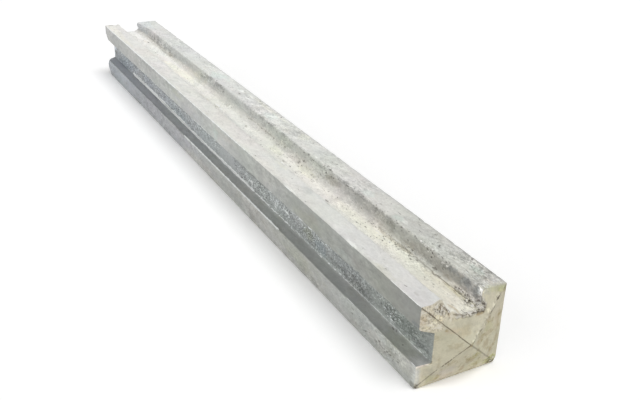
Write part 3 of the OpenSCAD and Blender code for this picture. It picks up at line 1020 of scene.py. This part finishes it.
def paint_ridge(skin):
    """Pale crumbs along the crest of the ridge to the right corner with a painted highlight on them,
    and a painted shadow in the crease beside it.
    """
    p = skin.home
    u, v = on_slopes(p)
    beside = (u - v) * HALF_W * 0.7 + 2.5 * field(p, 14, 2, 36)
    reach = skin.of("weathered_top") * smooth(0.03, 0.1, u) * smooth(0.75, 0.6, u) * (v > 0)
    # pale crumbs with a painted highlight on the crest
    crest_and_highlight = reach * smooth(1.4, 0.5, np.abs(beside)) * smooth(0.03, 0.14, field(p, 3.5, 2, 35))
    skin.colour((238, 229, 205), 0.9 * crest_and_highlight)
    # painted shadow on the crest's lower right
    ridge_shadow = reach * smooth(1.4, 0.4, np.abs(beside - 2.2)) * smooth(0, 0.15, field(p, 4, 2, 37))
    skin.tint("black", ridge_shadow)


def paint_pale_places(skin, cut, heaped):
    """The sliver under the side slot and the left corner of the weathered top, the heaps of
    mortar, and what is freshly broken at the top end."""
    below = SIDE_LOW + 0.25 * (skin.x - LEFT) - skin.z
    sliver = skin.zone("weathered_top", x=(-42, -44)) * smooth(2.4, 1.0, below) * (below > -0.5)
    skin.colour((240, 228, 214), 0.85 * sliver)
    skin.colour((197, 198, 196), 0.75 * skin.zone("weathered_top", x=(-49, -54), z=(32, 24)))
    skin.colour((208, 204, 196), 0.6 * heaped)
    skin.colour((208, 200, 178), 0.8 * smooth(0.3, 1.5, cut) * smooth(40, 20, skin.t))


# How far out a mark's ragged edge can lie, in its sizes, and the seeds of the two lists
MARK_REACH, MARK_SEED, TOP_MARK_SEED = 1.8, 100, 300


def add_mark(skin, kind, strength, chosen, offset, seed):
    """Tints the chosen vertices, or adds to a detail, inside a ragged spot of radius 1."""
    ragged = np.linalg.norm(offset, axis=1) + 0.6 * field(offset, 0.55, 3, seed)
    mask = np.zeros(len(skin.points))
    mask[chosen] = smooth(1.2, 0.7, ragged)
    if kind in skin.detail:
        skin.detail[kind] += strength * mask
    else:
        skin.tint(kind, mask * strength)


def paint_marks(skin):
    for number, (kind, strength, place, size) in enumerate(MARKS):
        close, middle = skin.near(place, MARK_REACH * np.array(size, float))
        offset = (skin.home[close] - middle) / size
        add_mark(skin, kind, strength, close, offset, MARK_SEED + number)
    top = np.flatnonzero(skin.of("weathered_top") > 0.5)
    for number, (kind, strength, place, size) in enumerate(TOP_MARKS):
        offset = (skin.home[top][:, [0, 2]] - place) / size
        close = np.abs(offset).max(1) < MARK_REACH
        flat = np.insert(offset[close], 1, 0, axis=1)
        add_mark(skin, kind, strength, top[close], flat, TOP_MARK_SEED + number)


def score_and_shadow_lines(skin):
    """The scored lines of the weathered top, two of them painted shadow under the slot floor's ledge,
    and the groove along the upper slot's floor.
    """
    t, top = skin.t, skin.of("weathered_top") > 0.5
    score_and_shadow, strength = scored_and_shadow_lines(skin.home)
    groove = np.abs(skin.x - 15 - 2.5 * along_field(t, 18, 3, 27)) / 1.2
    floor = (skin.of("slot_floor") > 0.5) & (t < 210)
    depth = 0.75 * smooth(-9, -2, t) * (1 - 0.6 * smooth(45, 130, t)) * smooth(205, 150, t)
    skin.detail["score_and_shadow"] = np.where(top, score_and_shadow, np.where(floor, groove, FAR))
    skin.detail["score_and_shadow_strength"] = np.where(floor, depth, strength)


def calm_slot_back(skin):
    """The back of the side slot has one smooth patch, and few specks near the top end."""
    t, back = skin.t, skin.of("slot_back")
    smooth_patch = back * smooth(520, 535, t) * smooth(598, 584, t)
    for name in ("grain", "specks_and_glints"):
        skin.detail[name] *= 1 - 0.85 * smooth_patch
    more = 0.6 * smooth(190, 240, t) - 0.3 * smooth(85, 30, t)
    skin.detail["specks_and_glints"] *= 1 + back * (more - 0.25)


def paint(skin, moved, cut, heaped):
    """Colours every vertex, and sets how strongly each kind of detail shows there."""
    skin.share[:skin.around] = np.eye(len(FACES))[TOP_END]
    skin.tone = base_tone(skin)
    skin.detail = {name: skin.amount(name) for name in DETAILS}
    paint_slopes(skin)
    paint_side_slot(skin)
    paint_cove_light_and_shade(skin, moved)
    paint_stretches(skin)
    paint_upper_slot(skin, moved)
    paint_edges(skin)
    skin.detail["rubbed_and_highlight"] = rubbed_and_highlight_lines(skin)
    roughen_right_land(skin)
    paint_rough_places(skin, heaped)
    paint_ridge(skin)
    paint_pale_places(skin, cut, heaped)
    paint_marks(skin)
    score_and_shadow_lines(skin)
    calm_slot_back(skin)


# ---- the finished mesh

def make_mesh():
    skin = Skin()
    cast_relief(skin)
    mortar_fin(skin)
    moved = mortar_cove(skin)
    silted_corner(skin)
    wear_edges(skin)
    swollen_lip(skin)
    finish_top(skin)
    cut = break_corners(skin)
    heaped = mortar_heaps(skin)
    paint(skin, moved, cut, heaped)
    skin.points = np.clip(skin.points, LOW, HIGH)

    mesh = bpy.data.meshes.new("post_concrete")
    mesh.from_pydata((skin.points * MM).tolist(), [], skin.faces)
    mesh.update()
    tone = mesh.color_attributes.new("tone", "FLOAT_COLOR", "POINT")
    tone.data.foreach_set("color", np.insert(np.clip(skin.tone, 0.02, 0.98), 3, 1, axis=1).ravel())
    for name, value in skin.detail.items():
        layer = mesh.attributes.new(name, "FLOAT", "POINT")
        layer.data.foreach_set("value", value)
    mesh.shade_smooth()
    return mesh


# ---- the material

class Shader(Nodes):
    """The nodes of one material, with its colour and normal so far. Its patterns are drawn out
    along the post."""

    def __init__(self, name):
        self.material = bpy.data.materials.new(name)
        self.material.use_nodes = True
        super().__init__(self.material.node_tree)
        self.surface = self.tree.nodes["Principled BSDF"].inputs
        self.exact = self.node("TexCoord").outputs["Object"]
        self.place = self.stretched(0, (1.0, 0.45, 1.0))
        self.colour = self.normal = None

    def attribute(self, name, output="Fac"):
        return self.node("Attribute", attribute_name=name).outputs[output]

    def times(self, a, b):
        return self.maths("MULTIPLY", a, b)

    def ramp(self, value, low, high, to_low=0.0, to_high=1.0):
        made = self.node("MapRange", interpolation_type="SMOOTHSTEP")
        for socket, number in zip(made.inputs, (value, low, high, to_low, to_high)):
            self.put(socket, number)
        return made.outputs[0]

    def noise(self, scale, detail=4.0, roughness=0.55, place=None, output="Fac"):
        made = self.node("TexNoise")
        self.put(made.inputs["Vector"], place or self.place)
        self.put(made.inputs["Scale"], scale)
        self.put(made.inputs["Detail"], detail)
        self.put(made.inputs["Roughness"], roughness)
        return made.outputs[output]

    def stretched(self, turn, scale):
        """The place, turned about the vertical and then stretched."""
        turned = self.node("Mapping")
        self.put(turned.inputs["Vector"], self.exact)
        turned.inputs["Rotation"].default_value = (0, 0, math.radians(turn))
        spread = self.node("Mapping")
        self.put(spread.inputs["Vector"], turned.outputs[0])
        spread.inputs["Scale"].default_value = scale
        return spread.outputs[0]

    def mix(self, factor, a, b, blend="MIX"):
        made = self.node("Mix", data_type="RGBA", blend_type=blend)
        self.put(made.inputs[0], factor)
        self.put(made.inputs[6], a)
        self.put(made.inputs[7], b)
        return made.outputs[2]

    def scale(self, gain, amount=1.0):
        """Multiplies the colour by a gain, as far as the amount says."""
        scaled = self.mix(1.0, self.colour, gain, "MULTIPLY")
        self.colour = self.mix(amount, self.colour, scaled)

    def cover(self, mask, strength, colour):
        """Covers the masked places with a colour."""
        amount = self.times(mask, strength) if strength < 1 else mask
        self.colour = self.mix(amount, self.colour, (*colour, 1.0))

    def bump(self, height, distance):
        """Adds relief to the normal."""
        made = self.node("Bump")
        self.put(made.inputs["Height"], height)
        made.inputs["Distance"].default_value = distance
        if self.normal:
            self.put(made.inputs["Normal"], self.normal)
        self.normal = made.outputs[0]


def pit_mask(shader, scale, amount, density, radius):
    """Pits at random places, more of them where the amount is high."""
    bent = shader.node("Mix", data_type="VECTOR")
    shader.put(bent.inputs[0], 0.005)
    shader.put(bent.inputs[4], shader.place)
    shader.put(bent.inputs[5], shader.noise(300.0, 2.0, 0.6, output="Color"))
    cells = shader.node("TexVoronoi")
    shader.put(cells.inputs["Vector"], bent.outputs[1])
    cells.inputs["Scale"].default_value = scale
    chance = shader.node("SeparateColor")
    shader.put(chance.inputs[0], cells.outputs["Color"])
    there = shader.maths("MULTIPLY_ADD", amount, density, chance.outputs[0])
    size = shader.maths("MULTIPLY_ADD", chance.outputs[1], radius * 0.7, radius * 0.5)
    depth = shader.ramp(shader.maths("SUBTRACT", size, cells.outputs["Distance"]), -0.04, 0.05)
    return shader.times(depth, shader.ramp(there, 1.0, 1.03))


def add_clouds(shader):
    """Broad clouds with a slight drift of hue, and patches and brown blots a centimetre wide."""
    shader.scale(shader.ramp(shader.noise(14.0, 4.0, 0.6), 0.3, 0.7, 0.94, 1.05))
    hue = shader.noise(19.0, 4.0, 0.6, output="Color")
    hue = shader.mix(0.93, hue, (0.5, 0.5, 0.5, 1.0))
    hue = shader.mix(1.0, hue, (2.0, 2.0, 2.0, 1.0), "MULTIPLY")
    shader.scale(hue, 0.75)
    patches = shader.ramp(shader.noise(75.0, 4.0, 0.65), 0.33, 0.67, 0.92, 1.06)
    shader.scale(patches, shader.maths("MULTIPLY_ADD", shader.attribute("grain"), 0.7, 0.3))
    blots = shader.ramp(shader.noise(85.0, 5.0, 0.7), 0.50, 0.66)
    blots = shader.times(blots, shader.attribute("mottle"))
    shader.scale((0.70, 0.64, 0.50, 1.0), shader.times(blots, 0.8))


def add_grain(shader, rough_area):
    """Grain, gathered in rough areas. It gives back the fine and the coarse relief."""
    grain = shader.attribute("grain")
    rough = shader.times(grain, rough_area)
    coarse = shader.noise(150.0, 5.0, 0.75)
    shader.scale(shader.ramp(coarse, 0.32, 0.68, 0.66, 1.24), rough)
    fine = shader.noise(420.0, 3.0, 0.7)
    amount = shader.maths("MULTIPLY_ADD", grain, 0.6, 0.3)
    shader.scale(shader.ramp(fine, 0.3, 0.7, 0.86, 1.10), amount)
    return fine, shader.times(coarse, rough)


def add_strokes(shader, rough_area):
    """The trowel's strokes. It gives back their relief."""
    strokes = shader.noise(1.0, 4.0, 0.65, shader.stretched(-30, (120, 26, 60)))
    amount = shader.times(shader.attribute("trowel"), rough_area)
    shader.scale(shader.ramp(strokes, 0.32, 0.68, 0.82, 1.12), amount)
    return shader.times(strokes, amount)


def add_pits(shader):
    """Pits and dark flecks, with pale grains between them. It gives back their relief."""
    pits = shader.attribute("pits")
    small = pit_mask(shader, 380.0, pits, 0.4, 0.26)
    large = pit_mask(shader, 190.0, pits, 0.12, 0.22)
    fleck_area = shader.ramp(shader.noise(30.0, 3.0, 0.6), 0.50, 0.62)
    grit = shader.noise(300.0, 3.0, 0.6)
    gritty = shader.times(fleck_area, pits)
    flecks = shader.times(shader.ramp(grit, 0.60, 0.68), gritty)
    grains = shader.times(shader.ramp(grit, 0.42, 0.36), gritty)
    shader.cover(grains, 0.7, (0.90, 0.89, 0.85))
    dark = shader.maths("MAXIMUM", shader.maths("MAXIMUM", small, large), flecks)
    shader.cover(dark, 0.66, (0.17, 0.155, 0.13))
    return shader.times(dark, -1.0)


def add_specks_and_glints(shader, rough_area):
    """White specks and painted glints, with a painted sparkle of light and shade that leaves dark
    hollows between them.
    """
    specks_and_glints = shader.attribute("specks_and_glints")
    sharp = shader.noise(600.0, 2.0, 0.75)
    sparkle_amount = shader.times(specks_and_glints, rough_area)
    # painted sparkle of light and shade in the grain where the specks gather
    shader.scale(shader.ramp(sharp, 0.36, 0.64, 0.62, 1.38), sparkle_amount)
    # painted glints
    glints = shader.times(shader.ramp(sharp, 0.60, 0.66), specks_and_glints)
    white = shader.ramp(shader.noise(330.0, 3.0, 0.6), 0.60, 0.67)
    white_area = shader.maths("MULTIPLY_ADD", specks_and_glints, 0.12, shader.noise(18.0, 3.0, 0.6))
    white = shader.times(white, shader.ramp(white_area, 0.56, 0.72))
    white = shader.maths("MAXIMUM", shader.times(white, specks_and_glints), shader.times(glints, 0.9))
    shader.cover(white, 1.0, (0.78, 0.82, 0.82))


def add_rubbed_and_highlight_edges(shader):
    """Edges rubbed white with a painted highlight, and the white fin with its painted highlight."""
    uneven = shader.noise(200.0, 3.0, 0.65)
    ragged = shader.maths("MULTIPLY_ADD", uneven, 1.1, shader.attribute("rubbed_and_highlight"))
    # painted highlight along the edges and the fin, on paste rubbed white
    shader.cover(shader.ramp(ragged, 0.98, 1.14), 1.0, (0.93, 0.95, 0.94))


def add_crumbs(shader):
    """Crumbly places, with brown hollows and pale grains. It gives back their relief."""
    crumb = shader.attribute("crumb")
    lumps = shader.noise(330.0, 3.0, 0.65)
    hollow = shader.times(shader.ramp(lumps, 0.49, 0.42), crumb)
    shader.cover(hollow, 0.85, (0.12, 0.10, 0.085))
    bright = shader.times(shader.ramp(lumps, 0.53, 0.59), crumb)
    shader.cover(bright, 0.85, (0.88, 0.86, 0.82))
    return shader.times(lumps, crumb)


def add_scored_and_shadow_lines(shader):
    """The lines scored into the weathered top and the upper slot's floor, two of them drawn dark as
    painted shadow under the slot floor's ledge.
    """
    width = shader.ramp(shader.noise(120.0, 3.0, 0.6), 0.3, 0.7, 0.6, 1.1)
    line = shader.ramp(shader.maths("DIVIDE", shader.attribute("score_and_shadow"), width), 1.5, 0.4)
    line = shader.times(line, shader.attribute("score_and_shadow_strength"))
    shader.cover(line, 0.9, (0.10, 0.075, 0.045))


def make_concrete():
    shader = Shader("weathered_concrete")
    shader.colour = shader.attribute("tone", "Color")
    rough_area = shader.ramp(shader.noise(22.0, 3.0, 0.6), 0.40, 0.60, 0.25, 1.0)
    add_clouds(shader)
    fine, coarse = add_grain(shader, rough_area)
    strokes = add_strokes(shader, rough_area)
    pits = add_pits(shader)
    add_specks_and_glints(shader, rough_area)
    add_rubbed_and_highlight_edges(shader)
    lumps = add_crumbs(shader)
    add_scored_and_shadow_lines(shader)
    for height, metres in ((fine, 0.0004), (coarse, 0.0016), (strokes, 0.0015),
                           (lumps, 0.0030), (pits, 0.0010)):
        shader.bump(height, metres)
    shader.put(shader.surface["Base Color"], shader.colour)
    shader.put(shader.surface["Roughness"], shader.ramp(fine, 0.3, 0.7, 0.82, 0.96))
    shader.put(shader.surface["Specular IOR Level"], 0.3)
    shader.put(shader.surface["Normal"], shader.normal)
    return shader.material


bpy.context.scene.view_settings.view_transform = "Standard"
make_camera()
make_world(0.5)
make_sun("sun", 1.48, (0.15, -0.25, 1.0), 30)
make_sun("fill", 0.6, (-1.0, -0.1, 0.5), 60)
make_floor()

post = add_object("post_concrete", make_mesh())
post.data.materials.append(make_concrete())
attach(post, "root")
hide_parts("post")
